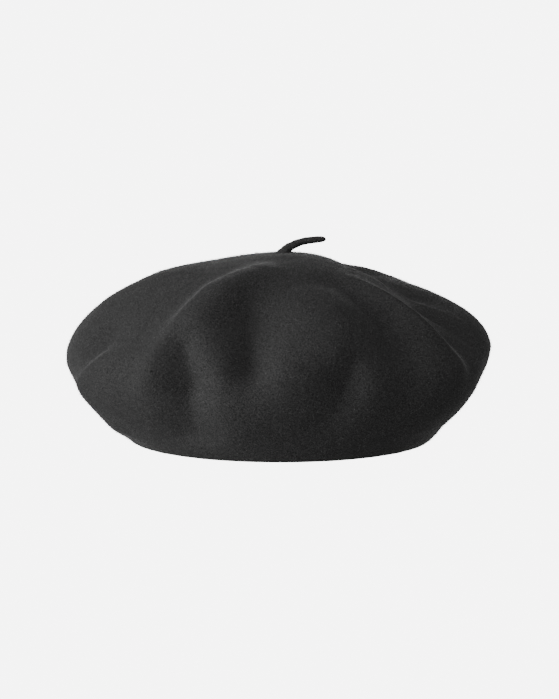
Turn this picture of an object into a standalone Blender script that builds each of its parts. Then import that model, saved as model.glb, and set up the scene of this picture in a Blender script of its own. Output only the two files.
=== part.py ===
"""A felted wool beret with a stalk, standing on the hem of its head opening.

Every layer is turned in one round blank and then draped by one function, which makes the opening
oval, sinks the front and pushes the folds. So the lining stays inside the felt everywhere.

Metres, +Z up. The origin is under the middle of the rim, in the plane that the hem stands on.
The wearer's face is towards -Y, and +X is to the right of someone who looks at that face.
"""

import math
from collections import namedtuple

import bpy
import numpy as np
from mathutils import Vector

MM = 0.001

# The blank's outer surface runs from the stalk over the rim and in to the hem.
RIM_RADIUS = 128 * MM
RIM_HEIGHT = 56 * MM
CROWN_RISE = 57 * MM
CROWN_POWER = 1.72
APEX = RIM_HEIGHT + CROWN_RISE

# The felt turns in at the hem, round a small arc, and stands up inside as a flap.
FELT = 2.6 * MM
HEM_ARC = 3.1 * MM
HEM_ARC_RADIUS = 94.6 * MM
HEM_START_ANGLE = -45
HEM_FLAT_HALF_ANGLE = 25
FLAP_HEIGHT = 14 * MM

TURN_STEPS = 60
CROWN_STATIONS = 11
UNDERSIDE_STATIONS = 7
GAP = 0.4 * MM

# How the round blank is draped.
OVAL = 4.6 * MM
SLIP = 4.2 * MM
FRONT_SINK = 11 * MM
HEART = np.array((0, 0, 40 * MM))

# The stalk grows from a hole at the top of the crown and leans to the right.
STALK_HOLE = 4.0 * MM
STALK_PATH = ((0, -2.8), (0, -1.6), (0, 0), (1.2, 1.6), (3.6, 3.8), (7.2, 5.7), (11.2, 6.8),
              (16.6, 7.6), (22, 8.0), (24.4, 8.1))
STALK_THICKNESS = (1.7, 2.9, 3.3, 2.6, 2.25, 2.2, 2.15, 2.1, 1.9, 1.1)
ANCHOR_RADIUS = 6 * MM
ANCHOR_THICKNESS = 1.6 * MM

# The lining hangs a little inside the felt, in a round tip and a side that meet at a seam.
LINING = 0.6 * MM
LINING_DEPTH = 6.4 * MM
LINING_SEAM = 0.86
LINING_SEAM_HALF_GAP = 0.013
LINING_END = 1.86
SEAM_THREAD = 0.45 * MM

# The sweatband is a leather strip inside the hem, with its ends butted at the centre back.
BAND_RADIUS = HEM_ARC_RADIUS - HEM_ARC - GAP
BAND_THICKNESS = 1.2 * MM
BAND_BOTTOM = 1.6 * MM
BAND_TOP = 27 * MM
BAND_BUTT_DEGREES = 0.6
BAND_THREAD = 0.35 * MM
STITCH_LENGTH = 6 * MM
STITCH_RISE = (4 * MM, 6.5 * MM)

# A tape and a small bow cover the butt joint.
TAPE_DEGREES = 9
TAPE = 0.7 * MM
BOW_RISE = 12 * MM
BOW_HALF_WIDTH = 13 * MM
BOW_HALF_HEIGHT = 4.5 * MM
BOW_THICKNESS = 1.2 * MM
KNOT_SIZE = (5 * MM, 1.6 * MM, 6 * MM)

# The size label hangs from its sewn top edge, on the wearer's right.
LABEL_SIZE = (0.5 * MM, 26 * MM, 15 * MM)
LABEL_TOP = 23 * MM
LABEL_STITCH = 0.35 * MM

# A fold is a ridge, or a dent where its push is negative, along a path of directions seen from
# HEART: (bearing from the front, rise) in degrees. left and right are its widths in degrees on
# either side of the path, and push is its height in millimetres, at each point of the path.
# crest is 1 for a sharp crest and 2 for a round one.
Fold = namedtuple("Fold", "path left right push crest")
FOLDS = (
    # the front, from the viewer's left to right
    Fold(((-22, 56), (-31, 36), (-32, 22), (-35, 5)),
         (5, 4.5, 4.5, 4), (15, 18, 16, 12), (2, 7.5, 9, 7), 1.8),
    Fold(((-12, 54), (-22, 36), (-24, 24), (-27, 14)), (7, 7, 7, 6), (8, 7, 7, 5), (1.5, 4, 4, 1), 2.0),
    Fold(((-67, -1), (-56, 7), (-42, 11)), (8, 8, 8), (3, 3, 3), (4, 5, 3), 1.3),
    Fold(((-62, 12), (-50, 16)), (6, 6), (9, 9), (-8, -4), 2.0),
    Fold(((-27.5, 12), (-24.5, 3), (-26, -9)), (6, 9, 10), (4, 5, 7), (-9, -14.5, -9), 1.6),
    Fold(((-19, 14), (-16, 2), (-12, -10)), (5, 5, 5), (6, 7, 7), (1, 1.5, 1.5), 1.8),
    Fold(((-12, 38), (-9, 22), (-7.5, 8)), (7, 7, 5.5), (10, 9, 5), (-2, -9, -12), 1.8),
    Fold(((10, 42), (18, 26), (17.5, 15)), (15, 16, 14), (12, 13, 11), (1, 7.5, 7), 2.0),
    Fold(((21, 9.5), (18, 3), (14.5, -4)), (5, 9, 9), (4, 5, 6), (-6, -13, -5), 1.6),
    Fold(((32, 40), (38, 24), (38, 12), (36, 0)), (9, 10, 10, 10), (6, 6, 6, 7), (-3, -8, -9, -4), 1.8),
    Fold(((45, 42), (47, 28), (50.5, 17), (55.5, 7)), (9, 8, 8, 7), (5, 5, 5, 4), (3, 8, 9, 5), 1.4),
    Fold(((50, 5), (38, -4)), (4, 4), (4, 4), (2, 2), 1.2),
    # the sides and the back
    Fold(((112, 46), (98, 44), (84, 32)), (16, 15, 14), (16, 15, 14), (-9, -11, -11), 2.0),
    Fold(((80, 22), (68, 20), (60, 15)), (13, 13, 10), (13, 13, 10), (-2, -8, -6), 2.0),
    Fold(((92, 15), (92, 4)), (11, 12), (11, 12), (4, 3), 2.0),
    Fold(((86, -8), (84, -18)), (12, 12), (12, 12), (-6, -5), 2.0),
    Fold(((-90, 60), (-90, 40), (-90, 24), (-90, 8)),
         (14, 14, 9, 8), (14, 14, 9, 8), (0, 3.5, 2.5, -1), 2.0),
    Fold(((-88, 2), (-86, -11)), (9, 9), (9, 9), (2.5, -5), 2.0),
    Fold(((-96, -26), (-64, -25)), (7, 10), (7, 10), (11, 9), 2.0),
    Fold(((130, 40), (124, 2)), (6, 9), (6, 9), (3, 4), 1.6),
    Fold(((165, 34), (160, -4)), (9, 11), (9, 11), (-4, -7), 2.0),
    Fold(((-152, 42), (-146, 4)), (6, 8), (6, 8), (3, 4), 1.6),
)


def smooth_step(low, high, values):
    """0 below low, 1 above high, and a smooth climb between them."""
    share = np.clip((values - low) / (high - low), 0, 1)
    return share * share * (3 - 2 * share)


def unit(vectors):
    return vectors / np.linalg.norm(vectors, axis=-1, keepdims=True)


def direction_of(bearing, rise):
    """The unit vector that points to this bearing from the front, at this rise, in degrees."""
    turn = math.radians(bearing)
    lift = math.radians(rise)
    flat = math.cos(lift)
    return np.array((math.sin(turn) * flat, -math.cos(turn) * flat, math.sin(lift)))


def fold_push(fold, directions):
    """How far one fold pushes the cloth out from HEART, in each of these directions."""
    path = [direction_of(*point) for point in fold.path]
    steps = range(len(path))
    push = np.zeros(len(directions))
    weights = np.zeros(len(directions))
    for i in steps[1:]:
        line = path[i] - path[i - 1]
        share = np.clip((directions - path[i - 1]) @ line / (line @ line), 0, 1)
        away = directions - (path[i - 1] + share[:, None] * line)
        distance = np.degrees(np.linalg.norm(away, axis=1)) + 1e-6
        rightwards = np.degrees(away @ unit(np.cross(path[i - 1] + path[i], line)))
        rightness = 0.5 + 0.5 * rightwards / distance
        along = i - 1 + share
        left = np.interp(along, steps, fold.left)
        right = np.interp(along, steps, fold.right)
        width = left + (right - left) * rightness
        height = np.interp(along, steps, fold.push) * np.exp(-((distance / width) ** fold.crest))
        weight = distance ** -4.0
        push += height * weight
        weights += weight
    return push / weights * MM


def drape(points):
    """Moves points of the round blank to their places in the draped beret."""
    blank = np.array(points, dtype=float).reshape(-1, 3)
    radius = np.maximum(np.hypot(blank[:, 0], blank[:, 1]), 0.01 * MM)
    height = blank[:, 2]
    front = -blank[:, 1] / radius
    moved = blank.copy()
    moved[:, 0] += SLIP * (1 - (radius / RIM_RADIUS) ** 2) ** 2

    # The opening is longer from front to back than from side to side.
    low = 1 - smooth_step(35 * MM, 70 * MM, height)
    inside = 1 - smooth_step(97 * MM, RIM_RADIUS, radius)
    wider = OVAL * (2 * front * front - 1) * low * inside / radius
    moved[:, :2] += blank[:, :2] * wider[:, None]

    # The front sinks and the folds rise everywhere but at the stalk and in the band of the opening.
    above_band = smooth_step(45 * MM, 60 * MM, height)
    outside_band = smooth_step(96 * MM, 108 * MM, radius) * smooth_step(1 * MM, 16 * MM, height)
    free = np.maximum(above_band, outside_band) * smooth_step(5 * MM, 25 * MM, radius)
    frontness = smooth_step(-0.3, 1.0, front)
    low_rim = (radius / RIM_RADIUS) ** 1.5 * smooth_step(0, RIM_HEIGHT, height)
    moved[:, 2] -= FRONT_SINK * frontness * low_rim * free
    directions = unit(moved - HEART)
    push = sum(fold_push(fold, directions) for fold in FOLDS)
    return moved + directions * (push * free)[:, None]


def hem_arc(angle, arc=HEM_ARC):
    """(radius, height) on the hem's turn, whose lowest stretch is cut flat at height 0."""
    lift = HEM_ARC * math.cos(math.radians(HEM_FLAT_HALF_ANGLE))
    turn = math.radians(angle)
    return HEM_ARC_RADIUS + arc * math.cos(turn), lift + arc * math.sin(turn)


def blank_point(s):
    """(radius, height) on the blank's outer surface: s is 0 at the top, 1 at the rim, 2 at the hem."""
    if s <= 1:
        angle = s * math.pi / 2
        return (
            RIM_RADIUS * math.sin(angle) ** (2 / CROWN_POWER),
            RIM_HEIGHT + CROWN_RISE * max(0.0, math.cos(angle)) ** (2 / CROWN_POWER),
        )
    u = s - 1
    curve = (
        (RIM_RADIUS, RIM_HEIGHT),
        (RIM_RADIUS, 0.60 * RIM_HEIGHT),
        (0.88 * RIM_RADIUS, 0.28 * RIM_HEIGHT),
        hem_arc(HEM_START_ANGLE),
    )
    weights = ((1 - u) ** 3, 3 * u * (1 - u) ** 2, 3 * u * u * (1 - u), u ** 3)
    return tuple(sum(weight * point[k] for weight, point in zip(weights, curve)) for k in (0, 1))


def under_point(s, depth):
    """(radius, height) at this depth under the blank's outer surface."""
    step = 0.004
    before = blank_point(max(0.0, s - step))
    after = blank_point(min(2.0, s + step))
    run = (after[0] - before[0], after[1] - before[1])
    length = math.hypot(*run)
    radius, height = blank_point(s)
    return radius + depth * run[1] / length, height - depth * run[0] / length


def station_at(radius):
    """The s of the crown's outer surface at this radius."""
    return math.asin((radius / RIM_RADIUS) ** (CROWN_POWER / 2)) * 2 / math.pi


def spread(low, high, count):
    """count + 1 evenly spaced values from low to high."""
    return [low + (high - low) * i / count for i in range(count + 1)]


def make_material(name, colour, roughness):
    material = bpy.data.materials.new(name)
    material.use_nodes = True
    shader = material.node_tree.nodes["Principled BSDF"]
    shader.inputs["Base Color"].default_value = (*colour, 1)
    shader.inputs["Roughness"].default_value = roughness
    return material


def add_object(name, data, material):
    piece = bpy.data.objects.new(name, data)
    data.materials.append(material)
    beret.objects.link(piece)
    return piece


def evaluated_mesh(piece):
    """The object's mesh with its modifiers applied. The object itself is removed."""
    bpy.context.view_layer.update()
    mesh = bpy.data.meshes.new_from_object(piece.evaluated_get(bpy.context.evaluated_depsgraph_get()))
    bpy.data.objects.remove(piece)
    return mesh


def turned(name, profile, material, closed=False, thickness=0.0, start=0.0, sweep=360.0):
    """Turns a profile of (radius, height) points about Z, drapes it and returns the object.

    A closed profile makes a ring. An open one makes a surface, which gets its thickness inwards.
    start and sweep are in degrees, anticlockwise from +X.
    """
    turn = math.radians(start)
    mesh = bpy.data.meshes.new(name)
    verts = [(r * math.cos(turn), r * math.sin(turn), z) for r, z in profile]
    edges = [(i, i + 1) for i in range(len(verts) - 1)]
    if closed:
        edges.append((len(verts) - 1, 0))
    mesh.from_pydata(verts, edges, [])
    blank = add_object(name, mesh, material)

    screw = blank.modifiers.new("turn", "SCREW")
    screw.angle = math.radians(sweep)
    screw.steps = max(3, round(TURN_STEPS * sweep / 360))
    screw.render_steps = screw.steps
    screw.use_merge_vertices = True
    screw.merge_threshold = 0.01 * MM
    screw.use_smooth_shade = True
    if thickness:
        solidify = blank.modifiers.new("thickness", "SOLIDIFY")
        solidify.thickness = thickness
        solidify.offset = -1

    draped = evaluated_mesh(blank)
    places = np.empty(3 * len(draped.vertices))
    draped.vertices.foreach_get("co", places)
    draped.vertices.foreach_set("co", drape(places).ravel())
    draped.set_sharp_from_angle(angle=math.radians(50))
    return add_object(name, draped, material)


def add_tube(name, points, material, radii=None, cyclic=False, thickness=MM):
    """A round tube along a list of points, with filled ends."""
    curve = bpy.data.curves.new(name, "CURVE")
    curve.dimensions = "3D"
    curve.bevel_depth = thickness
    curve.bevel_resolution = 2
    curve.use_fill_caps = True
    spline = curve.splines.new("POLY")
    spline.points.add(len(points) - 1)
    for i, (spot, point) in enumerate(zip(spline.points, points)):
        spot.co = (*point, 1)
        spot.radius = radii[i] if radii else 1
    spline.use_cyclic_u = cyclic
    return add_object(name, curve, material)


def add_box(name, size, centre, material, bevel):
    bpy.ops.mesh.primitive_cube_add(size=1)
    box = bpy.context.object
    mesh = box.data
    for vertex in mesh.vertices:
        vertex.co = Vector(a * b for a, b in zip(vertex.co, size))
    bpy.data.objects.remove(box)
    piece = add_object(name, mesh, material)
    piece.location = centre
    rounded = piece.modifiers.new("rounded edges", "BEVEL")
    rounded.width = bevel
    rounded.segments = 2
    return piece


def band_point(bearing, depth, height):
    """A point in front of the sweatband's inner face, at a bearing in degrees from +X."""
    turn = math.radians(bearing)
    radius = BAND_RADIUS - BAND_THICKNESS - depth
    return Vector(drape((radius * math.cos(turn), radius * math.sin(turn), height))[0])


def make_felt_crown(material):
    """The felt: down the outside, round the hem, up the flap, and back along the inside."""
    stations = spread(station_at(STALK_HOLE), 1, CROWN_STATIONS) + spread(1, 2, UNDERSIDE_STATIONS)[1:]
    outside = [blank_point(s) for s in stations]
    flat = HEM_FLAT_HALF_ANGLE
    hem = [hem_arc(angle) for angle in (-90 + flat, -90 - flat, -140, -180)]
    flap_inside = HEM_ARC_RADIUS - HEM_ARC
    flap_outside = flap_inside + FELT
    flap = [
        (flap_inside, FLAP_HEIGHT),
        (flap_outside, FLAP_HEIGHT),
        hem_arc(-180, HEM_ARC - FELT),
    ]
    inside = [under_point(s, FELT) for s in reversed(stations)]
    return turned("felt_crown", outside + hem + flap + inside, material, closed=True)


def make_stalk(material):
    """The stalk: a rounded foot in the crown's hole, and a thin tail that leans to the right."""
    points = [(x * MM, 0, z * MM) for x, z in STALK_PATH]
    stalk = add_tube("stalk", points, material, radii=STALK_THICKNESS)
    stalk.location = drape((0, 0, APEX))[0]
    return stalk


def make_stalk_anchor(material):
    """The flat yarn knot that holds the stalk from inside, between the felt and the lining."""
    top = APEX - FELT - 1.2 * MM
    profile = (
        (0, top),
        (0.8 * ANCHOR_RADIUS, top),
        (ANCHOR_RADIUS, top - ANCHOR_THICKNESS / 2),
        (0.8 * ANCHOR_RADIUS, top - ANCHOR_THICKNESS),
        (0, top - ANCHOR_THICKNESS),
    )
    return turned("stalk_anchor", profile, material)


def make_lining(material, thread):
    """The satin tip under the crown, the satin side round the rim, and the seam between them."""
    tip_end = LINING_SEAM - LINING_SEAM_HALF_GAP
    tip = [(0, APEX - LINING_DEPTH)]
    tip += [under_point(s, LINING_DEPTH) for s in spread(0.08, tip_end, CROWN_STATIONS - 4)]
    turned("lining_tip", tip, material, thickness=LINING)

    side_start = LINING_SEAM + LINING_SEAM_HALF_GAP
    side = [under_point(s, LINING_DEPTH) for s in spread(side_start, LINING_END, UNDERSIDE_STATIONS - 1)]
    turned("lining_side", side, material, thickness=LINING)

    middle = under_point(LINING_SEAM, LINING_DEPTH + LINING / 2)
    turns = [2 * math.pi * i / TURN_STEPS for i in range(TURN_STEPS)]
    ring = drape([(middle[0] * math.cos(turn), middle[0] * math.sin(turn), middle[1]) for turn in turns])
    add_tube("lining_seam_thread", ring, thread, cyclic=True, thickness=SEAM_THREAD)


def make_sweatband(material, thread):
    """The leather strip inside the hem, and the zigzag of thread that sews it to the felt."""
    profile = [(BAND_RADIUS, z) for z in spread(BAND_TOP, BAND_BOTTOM, 4)]
    turned(
        "sweatband",
        profile,
        material,
        thickness=BAND_THICKNESS,
        start=90 + BAND_BUTT_DEGREES / 2,
        sweep=360 - BAND_BUTT_DEGREES,
    )

    stitches = 2 * round(math.pi * BAND_RADIUS / STITCH_LENGTH)
    depth = BAND_THREAD + GAP
    zigzag = [band_point(360 * i / stitches, depth, STITCH_RISE[i % 2]) for i in range(stitches)]
    add_tube("sweatband_thread", zigzag, thread, cyclic=True, thickness=BAND_THREAD)


def make_bow(ribbon):
    """The tape over the sweatband's butt joint, and the two loops and the knot of the bow on it."""
    tape_radius = BAND_RADIUS - BAND_THICKNESS - GAP
    tape_top = BAND_TOP - 1.5 * MM
    tape_bottom = STITCH_RISE[1] + BAND_THREAD + 1.2 * MM
    turned(
        "joint_tape",
        [(tape_radius, z) for z in spread(tape_top, tape_bottom, 2)],
        ribbon,
        thickness=TAPE,
        start=90 - TAPE_DEGREES / 2,
        sweep=TAPE_DEGREES,
    )

    loops = bpy.data.curves.new("bow_loops", "CURVE")
    loops.dimensions = "2D"
    loops.fill_mode = "BOTH"
    loops.extrude = BOW_THICKNESS / 2
    outline = loops.splines.new("POLY")
    corners = []
    for side in (1, -1):
        for across, up in ((0.12, -0.45), (0.75, -1), (1, -0.7), (1, 0.7), (0.75, 1), (0.12, 0.45)):
            corners.append((side * across * BOW_HALF_WIDTH, side * up * BOW_HALF_HEIGHT))
    outline.points.add(len(corners) - 1)
    for spot, corner in zip(outline.points, corners):
        spot.co = (*corner, 0, 1)
    outline.use_cyclic_u = True
    bow = add_object("bow_loops", loops, ribbon)
    bow.rotation_euler = (math.pi / 2, 0, 0)
    face = band_point(90, GAP + TAPE, BOW_RISE)
    ring_sag = 1.3 * MM
    bow.location = face - Vector((0, ring_sag + BOW_THICKNESS / 2, 0))

    knot_centre = bow.location - Vector((0, BOW_THICKNESS / 2 + GAP + KNOT_SIZE[1] / 2, 0))
    add_box("bow_knot", KNOT_SIZE, knot_centre, ribbon, 0.5 * MM)


def make_size_label(material, thread):
    """The blank woven label, hung by the stitch along its top edge in front of the sweatband."""
    face = band_point(180, GAP, LABEL_TOP)
    ring_sag = 1.1 * MM
    hinge = face + Vector((ring_sag + LABEL_SIZE[0] / 2, 0, 0))
    label = add_box("size_label", LABEL_SIZE, hinge, material, 0.15 * MM)
    for vertex in label.data.vertices:
        vertex.co.z -= LABEL_SIZE[2] / 2

    rise = LABEL_STITCH + GAP
    half = 0.47 * LABEL_SIZE[1]
    row = [hinge + Vector((0, y, rise)) for y in spread(-half, half, 4)]
    add_tube("label_stitch", row, thread, thickness=LABEL_STITCH)


def make_beret():
    felt = make_material("felt", (0.032, 0.032, 0.033), 0.95)
    satin = make_material("satin", (0.03, 0.03, 0.035), 0.35)
    leather = make_material("leather", (0.05, 0.04, 0.035), 0.5)
    ribbon = make_material("ribbon", (0.02, 0.02, 0.022), 0.4)
    thread = make_material("thread", (0.09, 0.09, 0.09), 0.7)
    woven = make_material("woven_label", (0.6, 0.6, 0.58), 0.8)
    make_felt_crown(felt)
    make_stalk(felt)
    make_stalk_anchor(thread)
    make_lining(satin, thread)
    make_sweatband(leather, thread)
    make_bow(ribbon)
    make_size_label(woven, thread)


for old in list(bpy.data.objects):
    bpy.data.objects.remove(old)
beret = bpy.data.collections.new("beret")
bpy.context.scene.collection.children.link(beret)
make_beret()
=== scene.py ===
"""The looks of the felt beret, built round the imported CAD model.

The felt, the lining and the sweatband are turned in the same round blank as the CAD solids and
draped by the same folds, but finely. Then they get their fuzz, puckers, stitches and grain.
The first ridge and the dent under it are up to 1.6 mm softer than in the CAD solids.
Metres, +Z up, the wearer's face towards -Y.
"""

import math
from collections import namedtuple

import bpy
import numpy as np
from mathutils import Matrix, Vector, noise


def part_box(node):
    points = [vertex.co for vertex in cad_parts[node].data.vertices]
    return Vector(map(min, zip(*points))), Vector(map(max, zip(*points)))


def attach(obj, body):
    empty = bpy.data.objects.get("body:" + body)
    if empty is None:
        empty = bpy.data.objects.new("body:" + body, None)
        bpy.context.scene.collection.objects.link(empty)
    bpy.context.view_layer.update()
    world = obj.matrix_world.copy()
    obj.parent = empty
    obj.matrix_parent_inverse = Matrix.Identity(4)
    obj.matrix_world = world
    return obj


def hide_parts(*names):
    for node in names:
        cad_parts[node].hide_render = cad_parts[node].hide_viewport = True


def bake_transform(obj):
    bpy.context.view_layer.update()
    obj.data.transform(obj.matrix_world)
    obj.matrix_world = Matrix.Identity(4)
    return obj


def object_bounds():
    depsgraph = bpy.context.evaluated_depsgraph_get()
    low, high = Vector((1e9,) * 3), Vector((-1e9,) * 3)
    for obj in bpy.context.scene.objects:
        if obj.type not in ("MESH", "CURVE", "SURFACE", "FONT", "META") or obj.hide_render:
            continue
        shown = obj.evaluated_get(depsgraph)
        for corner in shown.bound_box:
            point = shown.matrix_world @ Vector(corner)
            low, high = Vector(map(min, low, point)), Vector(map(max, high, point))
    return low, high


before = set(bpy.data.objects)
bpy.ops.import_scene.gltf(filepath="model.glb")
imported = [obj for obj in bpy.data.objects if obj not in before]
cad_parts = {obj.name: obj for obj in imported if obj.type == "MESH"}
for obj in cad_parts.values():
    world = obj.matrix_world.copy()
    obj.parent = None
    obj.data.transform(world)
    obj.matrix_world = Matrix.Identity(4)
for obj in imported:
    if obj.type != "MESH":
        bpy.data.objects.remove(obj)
cad_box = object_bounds()

MM = 0.001

# The round blank and its drape, as in the CAD model.
RIM_RADIUS = 128 * MM
RIM_HEIGHT = 56 * MM
CROWN_RISE = 57 * MM
CROWN_POWER = 1.72
APEX = RIM_HEIGHT + CROWN_RISE
FELT = 2.6 * MM
HEM_ARC = 3.1 * MM
HEM_ARC_RADIUS = 94.6 * MM
HEM_START_ANGLE = -45
HEM_FLAT_HALF_ANGLE = 25
FLAP_HEIGHT = 14 * MM
OVAL = 4.6 * MM
SLIP = 4.2 * MM
FRONT_SINK = 11 * MM
HEART = np.array((0, 0, 40 * MM))

# The stalk's centre line, (x, z) in mm from its joint, and its radius in mm at each point.
STALK_PATH = ((0, -0.9), (0, -0.15), (0.1, 0.6), (0.6, 1.7), (1.9, 3.0), (3.9, 4.2), (7.2, 5.7),
              (11.2, 6.8), (16, 7.5), (20.5, 7.9), (22.8, 8.0))
STALK_THICKNESS = (11.0, 6.6, 4.5, 3.3, 2.75, 2.45, 2.3, 2.2, 2.1, 2.0, 1.5)
ANCHOR_RADIUS = 6 * MM
ANCHOR_THICKNESS = 1.6 * MM

# The lining and the sweatband, as in the CAD model, but with the satin drawn closer to its seam.
GAP = 0.4 * MM
LINING = 0.6 * MM
LINING_DEPTH = 6.4 * MM
LINING_SEAM = 0.86
LINING_SEAM_HALF_GAP = 0.005
LINING_END = 1.86
SEAM_THREAD = 0.45 * MM
BAND_RADIUS = HEM_ARC_RADIUS - HEM_ARC - GAP
BAND_THICKNESS = 1.2 * MM
BAND_BOTTOM = 1.6 * MM
BAND_TOP = 27 * MM
BAND_BUTT_DEGREES = 0.6
BAND_THREAD = 0.35 * MM
STITCH_LENGTH = 6 * MM
STITCH_RISE = (4 * MM, 6.5 * MM)

# The tape, the bow and the label, as in the CAD model.
TAPE_DEGREES = 9
TAPE = 0.7 * MM
BOW_RISE = 12 * MM
BOW_HALF_WIDTH = 13 * MM
BOW_HALF_HEIGHT = 4.5 * MM
KNOT_SIZE = (5 * MM, 1.6 * MM, 6 * MM)
LABEL_STITCH = 0.35 * MM

# How finely the felt and the satin are turned.
FELT_TURNS = 360
SATIN_TURNS = 300

# The fibres that stand out of the felt: how many, how long and wide, and how steeply they may lift.
FUZZ_FIBRES = 64000
FUZZ_LENGTH = 2.3 * MM
FUZZ_LIFT = 0.9
STALK_FIBRES = 900
STALK_FUZZ_LENGTH = 1.6 * MM
STALK_FUZZ_LIFT = 0.7
FIBRE_WIDTH = 0.08 * MM
SEED = 7

# How finely the stalk is made.
STALK_STEPS = 70
STALK_SIDES = 28

# How far the felt swells in and out, and the size of those lumps.
CROWN_LUMPS = (0.15 * MM, 7 * MM)
STALK_LUMPS = (0.2 * MM, 2.5 * MM)

# The satin's gathers: how many waves go round at its seam and at the band, and how deep they are.
SEAM_WAVES = 44
SEAM_WAVE_DEPTH = 1.2 * MM
BAND_WAVES = 60
BAND_WAVE_DEPTH = 1.0 * MM

# The studio.
BACKGROUND = 6.6
LAMP_FROM = Vector((-0.95, -0.30, 0.12)).normalized()
LAMP_STRENGTH = 5.3
LAMP_SOFTNESS = 50
AMBIENT = 0.92
AMBIENT_LEAN = Vector((-0.35, 0, 0.25))
FLOOR_HALF = 4.0
CAMERA_LENS_MM = 135
CAMERA_SENSOR_MM = 36
CAMERA_AIM = Vector((0.3 * MM, 0, 53.5 * MM))
CAMERA_DISTANCE = 1.6
CAMERA_LIFT_DEGREES = 6.8

# A fold is a ridge, or a dent where its push is negative, along a path of directions seen from
# HEART: (bearing from the front, rise) in degrees. left and right are its widths in degrees on
# either side of the path, and push is its height in millimetres, at each point of the path.
# crest is 1 for a sharp crest and 2 for a round one.
Fold = namedtuple("Fold", "path left right push crest")
FOLDS = (
    # the front, from the viewer's left to right
    Fold(((-21.5, 56), (-30.4, 36), (-31.4, 22), (-34.6, 5)),
         (6, 5.7, 5.7, 5), (15, 18, 16, 12), (2.5, 8.7, 10.2, 7.5), 1.8),
    Fold(((-12, 54), (-22, 36), (-24, 24), (-27, 14)),
         (7, 7, 7, 6), (8, 7, 7, 5), (1.5, 4, 4, 1), 2.0),
    Fold(((-67, -1), (-56, 7), (-42, 11)), (8, 8, 8), (3, 3, 3), (4, 5, 3), 1.3),
    Fold(((-62, 12), (-50, 16)), (6, 6), (9, 9), (-8, -4), 2.0),
    Fold(((-27.5, 12), (-24.8, 3), (-26, -8)), (6, 9, 10), (4.3, 6, 8), (-9, -14.5, -8), 1.6),
    Fold(((-19, 14), (-16, 2), (-12, -10)), (5, 5, 5), (6, 7, 7), (1, 1.5, 1.5), 1.8),
    Fold(((-12, 38), (-9, 22), (-7.5, 8)), (7, 7, 5.5), (10, 9, 5), (-2, -9, -12), 1.8),
    Fold(((10, 42), (18, 26), (17.5, 15)), (15, 16, 14), (12, 13, 11), (1, 7.5, 7), 2.0),
    Fold(((21, 9.5), (18, 3), (14.5, -4)), (5, 9, 9), (4, 5, 6), (-6, -13, -5), 1.6),
    Fold(((32, 40), (38, 24), (38, 12), (36, 0)),
         (9, 10, 10, 10), (6, 6, 6, 7), (-3, -8, -9, -4), 1.8),
    Fold(((45, 42), (47, 28), (50.5, 17), (55.5, 7)),
         (9, 8, 8, 7), (5, 5, 5, 4), (3, 8, 9, 5), 1.4),
    Fold(((50, 5), (38, -4)), (4, 4), (4, 4), (2, 2), 1.2),
    # the sides and the back
    Fold(((112, 46), (98, 44), (84, 32)), (16, 15, 14), (16, 15, 14), (-9, -11, -11), 2.0),
    Fold(((80, 22), (68, 20), (60, 15)), (13, 13, 10), (13, 13, 10), (-2, -8, -6), 2.0),
    Fold(((92, 15), (92, 4)), (11, 12), (11, 12), (4, 3), 2.0),
    Fold(((86, -8), (84, -18)), (12, 12), (12, 12), (-6, -5), 2.0),
    Fold(((-90, 60), (-90, 40), (-90, 24), (-90, 8)),
         (14, 14, 9, 8), (14, 14, 9, 8), (0, 3.5, 2.5, -1), 2.0),
    Fold(((-88, 2), (-86, -11)), (9, 9), (9, 9), (2.5, -5), 2.0),
    Fold(((-96, -26), (-64, -25)), (7, 10), (7, 10), (11, 9), 2.0),
    Fold(((130, 40), (124, 2)), (6, 9), (6, 9), (3, 4), 1.6),
    Fold(((165, 34), (160, -4)), (9, 11), (9, 11), (-4, -7), 2.0),
    Fold(((-152, 42), (-146, 4)), (6, 8), (6, 8), (3, 4), 1.6),
)


def smooth_step(low, high, values):
    """0 below low, 1 above high, and a smooth climb between them."""
    share = np.clip((values - low) / (high - low), 0, 1)
    return share * share * (3 - 2 * share)


def unit(vectors):
    return vectors / np.linalg.norm(vectors, axis=-1, keepdims=True)


def direction_of(bearing, rise):
    """The unit vector that points to this bearing from the front, at this rise, in degrees."""
    turn = math.radians(bearing)
    lift = math.radians(rise)
    flat = math.cos(lift)
    return np.array((math.sin(turn) * flat, -math.cos(turn) * flat, math.sin(lift)))


def fold_push(fold, directions):
    """How far one fold pushes the cloth out from HEART, in each of these directions."""
    path = [direction_of(*point) for point in fold.path]
    steps = range(len(path))
    push = np.zeros(len(directions))
    weights = np.zeros(len(directions))
    for i in steps[1:]:
        line = path[i] - path[i - 1]
        share = np.clip((directions - path[i - 1]) @ line / (line @ line), 0, 1)
        away = directions - (path[i - 1] + share[:, None] * line)
        distance = np.degrees(np.linalg.norm(away, axis=1)) + 1e-6
        rightwards = np.degrees(away @ unit(np.cross(path[i - 1] + path[i], line)))
        rightness = 0.5 + 0.5 * rightwards / distance
        along = i - 1 + share
        left = np.interp(along, steps, fold.left)
        right = np.interp(along, steps, fold.right)
        width = left + (right - left) * rightness
        height = np.interp(along, steps, fold.push) * np.exp(-((distance / width) ** fold.crest))
        weight = distance ** -4.0
        push += height * weight
        weights += weight
    return push / weights * MM


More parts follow.
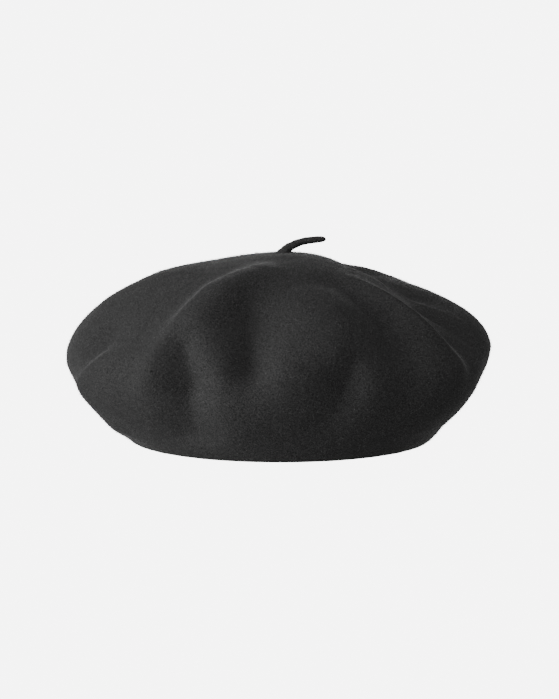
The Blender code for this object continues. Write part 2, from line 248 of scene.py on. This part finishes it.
def drape(points):
    """Moves points of the round blank to their places in the draped beret."""
    blank = np.array(points, dtype=float).reshape(-1, 3)
    radius = np.maximum(np.hypot(blank[:, 0], blank[:, 1]), 0.01 * MM)
    height = blank[:, 2]
    front = -blank[:, 1] / radius
    moved = blank.copy()
    moved[:, 0] += SLIP * (1 - (radius / RIM_RADIUS) ** 2) ** 2

    # The opening is longer from front to back than from side to side.
    low = 1 - smooth_step(35 * MM, 70 * MM, height)
    inside = 1 - smooth_step(97 * MM, RIM_RADIUS, radius)
    wider = OVAL * (2 * front * front - 1) * low * inside / radius
    moved[:, :2] += blank[:, :2] * wider[:, None]

    # The front sinks and the folds rise everywhere but at the stalk and in the band of the opening.
    above_band = smooth_step(45 * MM, 60 * MM, height)
    outside_band = smooth_step(96 * MM, 108 * MM, radius) * smooth_step(1 * MM, 16 * MM, height)
    free = np.maximum(above_band, outside_band) * smooth_step(5 * MM, 25 * MM, radius)
    frontness = smooth_step(-0.3, 1.0, front)
    low_rim = (radius / RIM_RADIUS) ** 1.5 * smooth_step(0, RIM_HEIGHT, height)
    moved[:, 2] -= FRONT_SINK * frontness * low_rim * free
    directions = unit(moved - HEART)
    push = sum(fold_push(fold, directions) for fold in FOLDS)
    return moved + directions * (push * free)[:, None]


def hem_arc(angle, arc=HEM_ARC):
    """(radius, height) on the hem's turn, whose lowest stretch is cut flat at height 0."""
    lift = HEM_ARC * math.cos(math.radians(HEM_FLAT_HALF_ANGLE))
    turn = math.radians(angle)
    return HEM_ARC_RADIUS + arc * math.cos(turn), lift + arc * math.sin(turn)


def blank_point(s):
    """(radius, height) on the blank's outside: s is 0 at the top, 1 at the rim, 2 at the hem."""
    if s <= 1:
        angle = s * math.pi / 2
        return (
            RIM_RADIUS * math.sin(angle) ** (2 / CROWN_POWER),
            RIM_HEIGHT + CROWN_RISE * max(0.0, math.cos(angle)) ** (2 / CROWN_POWER),
        )
    u = s - 1
    curve = (
        (RIM_RADIUS, RIM_HEIGHT),
        (RIM_RADIUS, 0.60 * RIM_HEIGHT),
        (0.88 * RIM_RADIUS, 0.28 * RIM_HEIGHT),
        hem_arc(HEM_START_ANGLE),
    )
    weights = ((1 - u) ** 3, 3 * u * (1 - u) ** 2, 3 * u * u * (1 - u), u ** 3)
    return tuple(sum(weight * point[k] for weight, point in zip(weights, curve)) for k in (0, 1))


def under_point(s, depth):
    """(radius, height) at this depth under the blank's outer surface."""
    step = 0.004
    before = blank_point(max(0.0, s - step))
    after = blank_point(min(2.0, s + step))
    run = (after[0] - before[0], after[1] - before[1])
    length = math.hypot(*run)
    radius, height = blank_point(s)
    return radius + depth * run[1] / length, height - depth * run[0] / length


def spread(low, high, count):
    """count + 1 evenly spaced values from low to high."""
    return list(np.linspace(low, high, count + 1))


# Meshes


def link(name, data):
    """A new object in the scene."""
    piece = bpy.data.objects.new(name, data)
    bpy.context.scene.collection.objects.link(piece)
    return piece


def add_piece(name, parts, material, nodes=(), body="body"):
    """One smooth piece from (points, faces) parts. It rides on a body and stands for CAD nodes."""
    points = np.concatenate([part[0] for part in parts])
    faces = []
    first = 0
    for part in parts:
        faces += [tuple(first + corner for corner in face) for face in part[1]]
        first += len(part[0])
    mesh = bpy.data.meshes.new(name)
    mesh.from_pydata(points.tolist(), [], faces)
    mesh.materials.append(material)
    mesh.shade_smooth()
    piece = link(name, mesh)
    if body:
        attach(piece, body)
    if nodes:
        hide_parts(*nodes)
    return piece


def grid_faces(rows, columns, rows_closed=False, columns_closed=False):
    """The quads of a grid of points, which may close on itself either way."""
    row = np.arange(rows if rows_closed else rows - 1)
    column = np.arange(columns if columns_closed else columns - 1)
    row, column = np.meshgrid(row, column, indexing="ij")
    below = (row + 1) % rows
    beside = (column + 1) % columns
    corners = (
        row * columns + column,
        below * columns + column,
        below * columns + beside,
        row * columns + beside,
    )
    return np.stack(corners, axis=-1).reshape(-1, 4).tolist()


def turned(profile, around, closed=False, start=0.0, sweep=360.0):
    """A (points, faces) part: a profile of (radius, height) turned about Z and draped.

    An open profile that starts and ends on the axis is closed there by two fans.
    start and sweep are in degrees, anticlockwise from +X.
    """
    whole = sweep == 360.0
    turn = np.radians(start + np.linspace(0, sweep, around, endpoint=not whole))
    radius, height = np.array(profile).T
    x = radius[:, None] * np.cos(turn)
    y = radius[:, None] * np.sin(turn)
    z = np.repeat(height[:, None], around, axis=1)
    points = drape(np.stack((x, y, z), axis=-1))
    faces = grid_faces(len(profile), around, closed, whole)
    if whole and not closed:
        last = len(points) - around
        for first, pole in ((0, profile[0]), (last, profile[-1])):
            tip = len(points)
            points = np.concatenate((points, drape((0, 0, pole[1]))))
            ring = [(tip, first + i, first + (i + 1) % around) for i in range(around)]
            faces += ring if first == 0 else [face[::-1] for face in ring]
    if not whole:
        rows = np.arange(len(profile)) * around
        faces += [tuple(rows.tolist()), tuple((rows + around - 1)[::-1].tolist())]
    return points, faces


def tube(points, radii, sides=8, closed=False):
    """A (points, faces) part: a round tube along points, with flat ends."""
    points = np.array(points, dtype=float)
    radii = np.broadcast_to(radii, len(points))
    if closed:
        along = np.roll(points, -1, axis=0) - np.roll(points, 1, axis=0)
    else:
        along = np.gradient(points, axis=0)
    along = unit(along)
    side = np.cross(along[0], (0.3, 0.5, 0.8))
    rings = []
    turn = np.arange(sides) * 2 * math.pi / sides
    for point, forward, radius in zip(points, along, radii):
        side = unit(side - forward * (side @ forward))
        up = np.cross(forward, side)
        rings.append(point + radius * (np.cos(turn)[:, None] * side + np.sin(turn)[:, None] * up))
    faces = grid_faces(len(points), sides, closed, True)
    if not closed:
        last = (len(points) - 1) * sides
        faces += [tuple(range(sides))[::-1], tuple(range(last, last + sides))]
    return np.concatenate(rings), faces


def strip(path, across, thickness, normals):
    """A (points, faces) part: a ribbon whose middle runs along path. across is half its width."""
    path, across, normals = (np.array(values, dtype=float) for values in (path, across, normals))
    half = thickness / 2 * normals
    shares = np.linspace(-1, 1, 9)
    loop = [path + share * across + half for share in shares]
    loop += [path + share * across - half for share in shares[::-1]]
    points = np.stack(loop, axis=1)
    faces = grid_faces(len(path), points.shape[1], False, True)
    last = (len(path) - 1) * points.shape[1]
    ends = tuple(range(points.shape[1]))
    faces += [ends[::-1], tuple(last + corner for corner in ends)]
    return points.reshape(-1, 3), faces


def smooth_path(points, count):
    """A smooth path of count + 1 points through a few points, by Catmull-Rom curves."""
    points = np.array(points, dtype=float)
    padded = np.vstack((2 * points[0] - points[1], points, 2 * points[-1] - points[-2]))
    path = []
    for place in np.linspace(0, len(points) - 1.000001, count + 1):
        i = int(place)
        t = place - i
        a, b, c, d = padded[i : i + 4]
        square = 2 * a - 5 * b + 4 * c - d
        cube = 3 * b - a - 3 * c + d
        path.append(0.5 * (2 * b + (c - a) * t + square * t * t + cube * t**3))
    return np.array(path)


def band_points(bearings, depths, heights):
    """Points in front of the sweatband's inner face, at bearings in degrees from +X."""
    turn = np.radians(bearings)
    radius = BAND_RADIUS - BAND_THICKNESS - np.asarray(depths, dtype=float)
    x, y, z = np.broadcast_arrays(radius * np.cos(turn), radius * np.sin(turn), heights)
    return drape(np.stack((x, y, z), axis=-1))


# Materials


class Shader:
    """A Principled material whose nodes are added one call at a time."""

    def __init__(self, name, colour, roughness, **plain):
        self.material = bpy.data.materials.new(name)
        self.material.use_nodes = True
        self.nodes = self.material.node_tree.nodes
        self.links = self.material.node_tree.links
        self.surface = self.nodes["Principled BSDF"]
        self.surface.inputs["Base Color"].default_value = (*colour, 1)
        self.surface.inputs["Roughness"].default_value = roughness
        for socket, value in plain.items():
            self.surface.inputs[socket.replace("_", " ")].default_value = value
        self.place = self.nodes.new("ShaderNodeTexCoord").outputs["Object"]

    def noise(self, scale, detail=2, roughness=0.6, stretch=None):
        """A noise with this many lumps per metre, shrunk by stretch along each axis."""
        texture = self.nodes.new("ShaderNodeTexNoise")
        texture.inputs["Scale"].default_value = scale
        texture.inputs["Detail"].default_value = detail
        texture.inputs["Roughness"].default_value = roughness
        place = self.place
        if stretch:
            mapping = self.nodes.new("ShaderNodeMapping")
            mapping.inputs["Scale"].default_value = stretch
            self.links.new(place, mapping.inputs["Vector"])
            place = mapping.outputs["Vector"]
        self.links.new(place, texture.inputs["Vector"])
        return texture.outputs["Fac"]

    def mixed(self, a, b, share):
        """share of a and the rest of b."""
        part = self.nodes.new("ShaderNodeMath")
        part.operation = "MULTIPLY"
        part.inputs[1].default_value = 1 - share
        self.links.new(b, part.inputs[0])
        total = self.nodes.new("ShaderNodeMath")
        total.operation = "MULTIPLY_ADD"
        total.inputs[1].default_value = share
        self.links.new(a, total.inputs[0])
        self.links.new(part.outputs[0], total.inputs[2])
        return total.outputs[0]

    def colours(self, factor, low, high, stops=(0.35, 0.65)):
        """Paints the base colour from low to high as the factor goes between the stops."""
        ramp = self.nodes.new("ShaderNodeValToRGB")
        for element, stop, colour in zip(ramp.color_ramp.elements, stops, (low, high)):
            element.position = stop
            element.color = (*colour, 1)
        self.links.new(factor, ramp.inputs["Fac"])
        self.links.new(ramp.outputs["Color"], self.surface.inputs["Base Color"])

    def bump(self, height, distance, strength=1.0):
        node = self.nodes.new("ShaderNodeBump")
        node.inputs["Strength"].default_value = strength
        node.inputs["Distance"].default_value = distance
        self.links.new(height, node.inputs["Height"])
        self.links.new(node.outputs["Normal"], self.surface.inputs["Normal"])


def grey(value):
    return (value, value, value)


def felt_material():
    """Charcoal felted wool: a fine matted grain, with a soft bloom at the edges."""
    felt = Shader("felt", grey(0.026), 1.0,
                  Specular_IOR_Level=0.0, Sheen_Weight=0.17, Sheen_Roughness=0.18)
    grain = felt.mixed(felt.noise(1700, roughness=0.8), felt.noise(800), 0.85)
    felt.colours(grain, grey(0.006), grey(0.043), (0.34, 0.66))
    felt.bump(grain, 0.4 * MM, 0.5)
    return felt.material


def fibre_material():
    return Shader("felt_fibre", grey(0.075), 1.0, Specular_IOR_Level=0.0).material


def satin_material():
    satin = Shader("satin", (0.02, 0.02, 0.024), 0.36, Specular_IOR_Level=0.6)
    threads = satin.noise(2500, stretch=(1, 0.12, 1))
    satin.colours(threads, (0.014, 0.014, 0.018), (0.034, 0.034, 0.040))
    satin.bump(threads, 0.05 * MM, 0.4)
    return satin.material


def leather_material():
    leather = Shader("leather", (0.045, 0.035, 0.03), 0.5, Specular_IOR_Level=0.4)
    pebbles = leather.mixed(leather.noise(1100, detail=4), leather.noise(300), 0.7)
    leather.colours(pebbles, (0.030, 0.024, 0.020), (0.062, 0.049, 0.042))
    leather.bump(pebbles, 0.2 * MM, 0.6)
    return leather.material


def ribbon_material():
    ribbon = Shader("ribbon", (0.018, 0.018, 0.02), 0.45, Sheen_Weight=0.1)
    ribs = ribbon.noise(2600, detail=1, stretch=(0.1, 0.1, 1))
    ribbon.colours(ribs, (0.010, 0.010, 0.012), (0.034, 0.034, 0.038))
    ribbon.bump(ribs, 0.1 * MM, 0.7)
    return ribbon.material


def thread_material():
    thread = Shader("thread", grey(0.08), 0.7)
    twist = thread.noise(4000, detail=1)
    thread.colours(twist, grey(0.045), grey(0.12))
    thread.bump(twist, 0.05 * MM)
    return thread.material


def label_material():
    label = Shader("woven_label", (0.6, 0.6, 0.57), 0.85, Specular_IOR_Level=0.2)
    warp = label.noise(3500, stretch=(1, 0.2, 1))
    weft = label.noise(3500, stretch=(1, 1, 0.2))
    weave = label.mixed(warp, weft, 0.5)
    label.colours(weave, (0.42, 0.42, 0.39), (0.72, 0.72, 0.69))
    label.bump(weave, 0.08 * MM)
    return label.material


# The felt


def mesh_points(mesh, what):
    """The places ("co") or normals ("normal") of a mesh's points."""
    values = np.empty(3 * len(mesh.vertices))
    mesh.vertices.foreach_get(what, values)
    return values.reshape(-1, 3)


def roughen(piece, amount, size):
    """Moves each point a little along its normal, by a smooth noise with lumps of this size.

    No point goes below the floor.
    """
    mesh = piece.data
    places = mesh_points(mesh, "co")
    swell = np.array([noise.noise(Vector(place) / size) for place in places])
    places += mesh_points(mesh, "normal") * (amount * swell)[:, None]
    places[:, 2] = np.maximum(places[:, 2], 0)
    mesh.vertices.foreach_set("co", places.ravel())
    mesh.update()


def make_felt_crown(felt):
    """The felt shell: down the outside, round the hem, up the flap, and back along the inside."""
    start = 0.02
    outside = [blank_point(s) for s in spread(start, 1, 100) + spread(1, 2, 62)[1:]]
    hem = [hem_arc(angle) for angle in spread(HEM_START_ANGLE, -180, 16)[1:]]
    inner = HEM_ARC_RADIUS - HEM_ARC
    rounding = FELT / 2
    top = FLAP_HEIGHT - rounding
    flap = [(inner, z) for z in spread(4 * MM, top, 4)]
    middle = inner + rounding
    for angle in np.radians(spread(180, 0, 6)[1:-1]):
        flap.append((middle + rounding * math.cos(angle), top + rounding * math.sin(angle)))
    flap += [(inner + FELT, z) for z in spread(top, 4 * MM, 4)]
    crotch = [hem_arc(angle, HEM_ARC - FELT) for angle in (-180, -110)]
    inside = [under_point(s, FELT) for s in spread(2, start, 36)]
    profile = outside + hem + flap + crotch + inside
    crown = add_piece("felt_shell", [turned(profile, FELT_TURNS)], felt, ("felt_crown",))
    roughen(crown, *CROWN_LUMPS)
    return crown


def surface_spots(mesh, count, random, keep):
    """Places and normals of spots scattered evenly on a mesh's quads.

    keep(middles, normals) is a weight for each quad: 0 leaves it bare.
    """
    places = mesh_points(mesh, "co")
    normals = mesh_points(mesh, "normal")
    faces = [polygon.vertices[:] for polygon in mesh.polygons]
    corners = np.array([face for face in faces if len(face) == 4])
    quads = places[corners]
    areas = np.linalg.norm(np.cross(quads[:, 2] - quads[:, 0], quads[:, 3] - quads[:, 1]), axis=1)
    areas *= keep(quads.mean(axis=1), normals[corners].mean(axis=1))
    chosen = corners[random.choice(len(corners), count, p=areas / areas.sum())]
    shares = random.random((2, count, 1))
    weights = (
        (1 - shares[0]) * (1 - shares[1]),
        shares[0] * (1 - shares[1]),
        shares[0] * shares[1],
        (1 - shares[0]) * shares[1],
    )
    spots = sum(weight * places[chosen[:, i]] for i, weight in enumerate(weights))
    facing = unit(sum(weight * normals[chosen[:, i]] for i, weight in enumerate(weights)))
    return spots, facing


def fibres(spots, facing, random, length, width, lift):
    """A (points, faces) part: curly fibres that lie on a surface and lift off it a little."""
    count = len(spots)
    drift = random.normal(size=(2, count, 3))
    flat = unit(drift[0] - facing * (drift[0] * facing).sum(axis=1, keepdims=True))
    rise = facing * (0.15 + lift * random.random((count, 1)) ** 2)
    reach = length * (0.4 + 0.8 * random.random((count, 1)))
    first = unit(flat + rise)
    second = unit(first + 0.5 * drift[1] + 0.3 * rise)
    second += facing * np.maximum(0, -(second * facing).sum(axis=1, keepdims=True))
    sideways = unit(np.cross(first, random.normal(size=(count, 3)))) * width / 2
    root = spots - 0.1 * MM * facing
    elbow = root + 0.5 * reach * first
    tip = elbow + 0.5 * reach * second
    stem = (root - sideways, root + sideways, elbow + sideways, elbow - sideways)
    points = np.stack((*stem, tip), axis=1)
    points[:, :, 2] = np.maximum(points[:, :, 2], 0)
    start = (np.arange(count) * 5)[:, None]
    stems = (start + np.array((0, 1, 2, 3))).tolist()
    tips = (start + np.array((3, 2, 4))).tolist()
    return points.reshape(-1, 3), stems + tips


def outside_only(middles, normals):
    """1 where the felt faces out, 0 on its inner side and on the flap."""
    out = unit(middles - HEART)
    low_edge = middles[:, 2] < 3 * MM
    return ((normals * out).sum(axis=1) > 0.15) | low_edge


def make_fuzz(crown, fibre, random):
    """The short fibres that stand out of the crown's outside."""
    spots, facing = surface_spots(crown.data, FUZZ_FIBRES, random, outside_only)
    fuzz = [fibres(spots, facing, random, FUZZ_LENGTH, FIBRE_WIDTH, FUZZ_LIFT)]
    add_piece("felt_fuzz", fuzz, fibre)


def make_stalk(felt, fibre, random):
    """The felt stalk, whose foot flares into the crown and whose tail leans to the right."""
    joint = drape((0, 0, APEX))[0]
    path = smooth_path([(x * MM, 0, z * MM) for x, z in STALK_PATH], STALK_STEPS)
    radii = smooth_path([(radius * MM, 0, 0) for radius in STALK_THICKNESS], STALK_STEPS)[:, 0]
    along = unit(path[-1] - path[-2])
    ends = [(path[-1] + along * radii[-1] * math.sin(turn), radii[-1] * math.cos(turn))
            for turn in np.radians((25, 50, 72, 88))]
    path = np.vstack((path, [end[0] for end in ends])) + joint
    radii = np.append(radii, [end[1] for end in ends])
    tail = tube(path, radii, sides=STALK_SIDES)
    stalk = add_piece("felt_stalk", [tail], felt, ("stalk",), body=None)
    roughen(stalk, *STALK_LUMPS)
    spots, facing = surface_spots(stalk.data, STALK_FIBRES, random, lambda middles, normals: 1.0)
    fuzz = [fibres(spots, facing, random, STALK_FUZZ_LENGTH, FIBRE_WIDTH, STALK_FUZZ_LIFT)]
    fuzz = add_piece("stalk_fuzz", fuzz, fibre, body=None)
    for piece in (stalk, fuzz):
        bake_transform(piece)


def make_anchor(thread):
    """The knot of yarn that holds the stalk from inside: a flat coil of three turns."""
    middle = drape((0, 0, APEX - FELT - 1.2 * MM - ANCHOR_THICKNESS / 2))[0]
    yarn = ANCHOR_THICKNESS / 2
    turns = 3
    steps = 120
    turn = np.linspace(0, turns * 2 * math.pi, steps)
    radius = np.linspace(0.6 * MM, ANCHOR_RADIUS - yarn, steps)
    coil = middle + np.stack((radius * np.cos(turn), radius * np.sin(turn), 0 * turn), axis=1)
    add_piece("yarn_knot", [tube(coil, yarn)], thread, ("stalk_anchor",))


# The lining


def satin_profile(stations):
    """The (radius, height) points of a lining piece: down its outer face and up its inner one."""
    outer = [under_point(s, LINING_DEPTH) for s in stations]
    inner = [under_point(s, LINING_DEPTH + LINING) for s in reversed(stations)]
    return outer + inner


def pucker(points, waves, depth, middle_height, reach):
    """Gathers satin into small waves that fade away from a seam at this height."""
    turn = np.arctan2(points[:, 1], points[:, 0])
    fade = np.exp(-((points[:, 2] - middle_height) / reach) ** 2)
    swing = np.sin(waves * turn) + 0.5 * np.sin(2.3 * waves * turn + 1)
    inwards = HEART + np.array((0, 0, 20 * MM)) - points
    return points + unit(inwards) * (depth * fade * (1 + swing) / 2.5)[:, None]


def make_lining(satin, thread):
    """The satin tip under the crown, the satin side round the rim, and the piped seam between."""
    tip_end = LINING_SEAM - LINING_SEAM_HALF_GAP
    tip_profile = satin_profile(spread(0.01, tip_end, 46))
    points, faces = turned(tip_profile, SATIN_TURNS)
    seam = under_point(LINING_SEAM, LINING_DEPTH + LINING / 2)
    points = pucker(points, SEAM_WAVES, SEAM_WAVE_DEPTH, seam[1] + 2 * MM, 16 * MM)
    tip = add_piece("satin_tip", [(points, faces)], satin, ("lining_tip",))

    side_start = LINING_SEAM + LINING_SEAM_HALF_GAP
    side_profile = satin_profile(spread(side_start, LINING_END, 46))
    points, faces = turned(side_profile, SATIN_TURNS, closed=True)
    points = pucker(points, SEAM_WAVES, SEAM_WAVE_DEPTH, seam[1] - 2 * MM, 14 * MM)
    points = pucker(points, BAND_WAVES, BAND_WAVE_DEPTH, 14 * MM, 10 * MM)
    side = add_piece("satin_side", [(points, faces)], satin, ("lining_side",))

    turn = np.arange(SATIN_TURNS) * 2 * math.pi / SATIN_TURNS
    level = np.full(SATIN_TURNS, seam[1])
    ring = np.stack((seam[0] * np.cos(turn), seam[0] * np.sin(turn), level), axis=1)
    piping = tube(drape(ring), SEAM_THREAD, closed=True)
    add_piece("seam_piping", [piping], thread, ("lining_seam_thread",))


# The sweatband


def make_sweatband(leather, thread):
    """The leather strip inside the hem, and the zigzag stitches that sew it to the felt."""
    outer = BAND_RADIUS
    inner = BAND_RADIUS - BAND_THICKNESS
    edge = 0.4 * MM
    profile = [(outer, z) for z in spread(BAND_TOP - edge, BAND_BOTTOM + edge, 16)]
    profile += [(outer - edge, BAND_BOTTOM), (inner + edge, BAND_BOTTOM)]
    profile += [(inner, z) for z in spread(BAND_BOTTOM + edge, BAND_TOP - edge, 16)]
    profile += [(inner + edge, BAND_TOP), (outer - edge, BAND_TOP)]
    around = turned(profile, 360, True, 90 + BAND_BUTT_DEGREES / 2, 360 - BAND_BUTT_DEGREES)
    band = add_piece("leather_sweatband", [around], leather, ("sweatband",))

    corners = 2 * round(math.pi * BAND_RADIUS / STITCH_LENGTH)
    shares = np.linspace(0.04, 0.96, 9)
    standing = (BAND_THREAD + GAP) * np.sin(shares * math.pi) ** 0.5 - 0.3 * MM
    stitches = []
    for i in range(corners):
        bearings = 360 * (i + shares) / corners
        low, high = STITCH_RISE[i % 2], STITCH_RISE[(i + 1) % 2]
        heights = low + (high - low) * shares
        stitches.append(tube(band_points(bearings, standing, heights), BAND_THREAD, sides=6))
    add_piece("zigzag_stitches", stitches, thread, ("sweatband_thread",))


def make_bow(ribbon):
    """The tape over the sweatband's butt joint, and a small tied bow on it."""
    radius = BAND_RADIUS - BAND_THICKNESS - GAP
    top = BAND_TOP - 1.5 * MM
    bottom = STITCH_RISE[1] + BAND_THREAD + 1.2 * MM
    profile = [(radius, z) for z in spread(top, bottom, 8)]
    profile += [(radius - TAPE, z) for z in spread(bottom, top, 8)]
    tape = turned(profile, 24, True, 90 - TAPE_DEGREES / 2, TAPE_DEGREES)
    taped = add_piece("ribbon_tape", [tape], ribbon, ("joint_tape",))

    face = band_points(90, GAP + TAPE, BOW_RISE)[0]
    ribbon_thickness = 0.35 * MM
    loops = []
    for side in (1, -1):
        turn = np.linspace(0, math.pi, 32)
        out = BOW_HALF_WIDTH * np.sin(turn) ** 0.9
        sag = (out / radius) * out / 2
        stand = 0.5 * MM + sag + (1 - np.cos(turn)) * 0.9 * MM
        tall = 1.4 * MM + (BOW_HALF_HEIGHT - 1.4 * MM) * smooth_step(0.1, 0.9, out / BOW_HALF_WIDTH)
        droop = 0.8 * MM * (out / BOW_HALF_WIDTH) ** 2
        path = np.stack((face[0] + side * out, face[1] - stand, face[2] - droop), axis=1)
        across = np.stack((0 * tall, 0 * tall, tall), axis=1)
        normals = unit(np.cross(np.gradient(path, axis=0), (0, 0, 1)))
        loops.append(strip(path, across, ribbon_thickness, normals))
    add_piece("bow_ribbon", loops, ribbon, ("bow_loops",))

    width, depth, height = KNOT_SIZE
    middle = face - np.array((0, 1.3 * MM + depth / 2, 0))
    levels = 21
    around = 48
    across = np.linspace(0, 2 * math.pi, around, endpoint=False)
    rows = []
    for level in np.linspace(-1, 1, levels):
        waist = 1 - 0.18 * (1 - level * level)
        pleats = 1 + 0.05 * np.cos(7 * across)
        boxy = np.sign(np.cos(across)) * np.abs(np.cos(across)) ** 0.6
        ring_x = width / 2 * waist * pleats * boxy
        ring_y = (depth / 2 + 0.5 * MM) * (1 - 0.5 * level**4) * np.sin(across)
        rows.append(np.stack((ring_x, ring_y, 0 * across + level * height / 2), axis=1) + middle)
    knot_faces = grid_faces(levels, around, False, True)
    last = (levels - 1) * around
    knot_faces += [tuple(range(around))[::-1], tuple(range(last, last + around))]
    wrap = (np.concatenate(rows), knot_faces)
    add_piece("bow_knot_wrap", [wrap], ribbon, ("bow_knot",))


def make_label(woven, thread):
    """The blank woven label, with its ends folded under, and the stitches along its top edge."""
    lowest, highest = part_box("size_label")
    middle = (lowest + highest) / 2
    half_width = (highest.y - lowest.y) / 2
    half_height = (highest.z - lowest.z) / 2
    across = np.linspace(-1, 1, 41)
    fold = smooth_step(0.80, 0.86, np.abs(across))
    bend = 0.25 * MM * across**2
    x = middle.x + 0.1 * MM - bend
    path = np.stack((x, middle.y + half_width * across, middle.z + 0 * across), axis=1)
    up = np.stack((0 * across, 0 * across, half_height + 0 * across), axis=1)
    facing = np.stack((1 + 0.6 * fold, 0 * across, 0 * across), axis=1)
    sheet = strip(path, up, 0.26 * MM, facing)
    label = add_piece("woven_label", [sheet], woven, ("size_label",),
                      body="size_label")

    line_low, line_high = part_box("label_stitch")
    height = (line_low.z + line_high.z) / 2
    stitch_length = 1.6 * MM
    stitch_starts = np.arange(-12.2, 12, 2.1) * MM
    stitches = []
    for start in stitch_starts:
        shares = np.linspace(0, 1, 7)
        x = line_low.x + LABEL_STITCH - 0.5 * MM * (1 - np.sin(shares * math.pi))
        y = start + stitch_length * shares
        stitches.append(tube(np.stack((x, y, 0 * shares + height), axis=1), 0.24 * MM, sides=6))
    add_piece("label_stitches", stitches, thread, ("label_stitch",))


# The studio


def make_stage():
    """A plain pale floor in one tone with the backdrop."""
    half = FLOOR_HALF
    floor_height = cad_box[0][2]
    square = ((-half, -half), (half, -half), (half, half), (-half, half))
    corners = [(x, y, floor_height) for x, y in square]
    mesh = bpy.data.meshes.new("floor")
    mesh.from_pydata(corners, [], [(0, 1, 2, 3)])
    floor = link("floor", mesh)
    material = bpy.data.materials.new("floor")
    material.use_nodes = True
    nodes = material.node_tree.nodes
    nodes.clear()
    glow = nodes.new("ShaderNodeEmission")
    glow.inputs["Color"].default_value = (*grey(BACKGROUND), 1)
    output = nodes.new("ShaderNodeOutputMaterial")
    material.node_tree.links.new(glow.outputs[0], output.inputs["Surface"])
    mesh.materials.append(material)
    floor.visible_diffuse = False
    floor.visible_glossy = False
    floor.visible_shadow = False


def make_light():
    """A soft lamp low at the left, in dim surroundings that are lighter above and at the left."""
    lamp = link("lamp", bpy.data.lights.new("lamp", "SUN"))
    lamp.data.energy = LAMP_STRENGTH
    lamp.data.angle = math.radians(LAMP_SOFTNESS)
    lamp.rotation_euler = LAMP_FROM.to_track_quat("Z", "Y").to_euler()
    world = bpy.data.worlds.new("studio")
    bpy.context.scene.world = world
    world.use_nodes = True
    nodes = world.node_tree.nodes
    links = world.node_tree.links
    soft = nodes["Background"]
    soft.inputs["Color"].default_value = (1, 1, 1, 1)
    where = nodes.new("ShaderNodeTexCoord")
    lean = nodes.new("ShaderNodeVectorMath")
    lean.operation = "DOT_PRODUCT"
    lean.inputs[1].default_value = AMBIENT_LEAN
    links.new(where.outputs["Generated"], lean.inputs[0])
    level = nodes.new("ShaderNodeMath")
    level.operation = "MULTIPLY_ADD"
    level.inputs[1].default_value = AMBIENT
    level.inputs[2].default_value = AMBIENT
    links.new(lean.outputs["Value"], level.inputs[0])
    links.new(level.outputs[0], soft.inputs["Strength"])
    plain = nodes.new("ShaderNodeBackground")
    plain.inputs["Color"].default_value = (*grey(BACKGROUND), 1)
    seen = nodes.new("ShaderNodeLightPath")
    mix = nodes.new("ShaderNodeMixShader")
    links.new(seen.outputs["Is Camera Ray"], mix.inputs[0])
    links.new(soft.outputs[0], mix.inputs[1])
    links.new(plain.outputs[0], mix.inputs[2])
    links.new(mix.outputs[0], nodes["World Output"].inputs["Surface"])


def make_camera():
    """A long lens a little above the rim, square to the front."""
    camera = link("camera", bpy.data.cameras.new("camera"))
    camera.data.lens = CAMERA_LENS_MM
    camera.data.sensor_width = CAMERA_SENSOR_MM
    lift = math.radians(CAMERA_LIFT_DEGREES)
    backwards = Vector((0, -math.cos(lift), math.sin(lift)))
    camera.location = CAMERA_AIM + CAMERA_DISTANCE * backwards
    forwards = CAMERA_AIM - camera.location
    camera.rotation_euler = forwards.to_track_quat("-Z", "Y").to_euler()
    bpy.context.scene.camera = camera


def make_beret():
    random = np.random.default_rng(SEED)
    felt = felt_material()
    fibre = fibre_material()
    satin = satin_material()
    ribbon = ribbon_material()
    thread = thread_material()
    crown = make_felt_crown(felt)
    make_fuzz(crown, fibre, random)
    make_stalk(felt, fibre, random)
    make_anchor(thread)
    make_lining(satin, thread)
    make_sweatband(leather_material(), thread)
    make_bow(ribbon)
    make_label(label_material(), thread)


make_camera()
make_light()
make_stage()
make_beret()
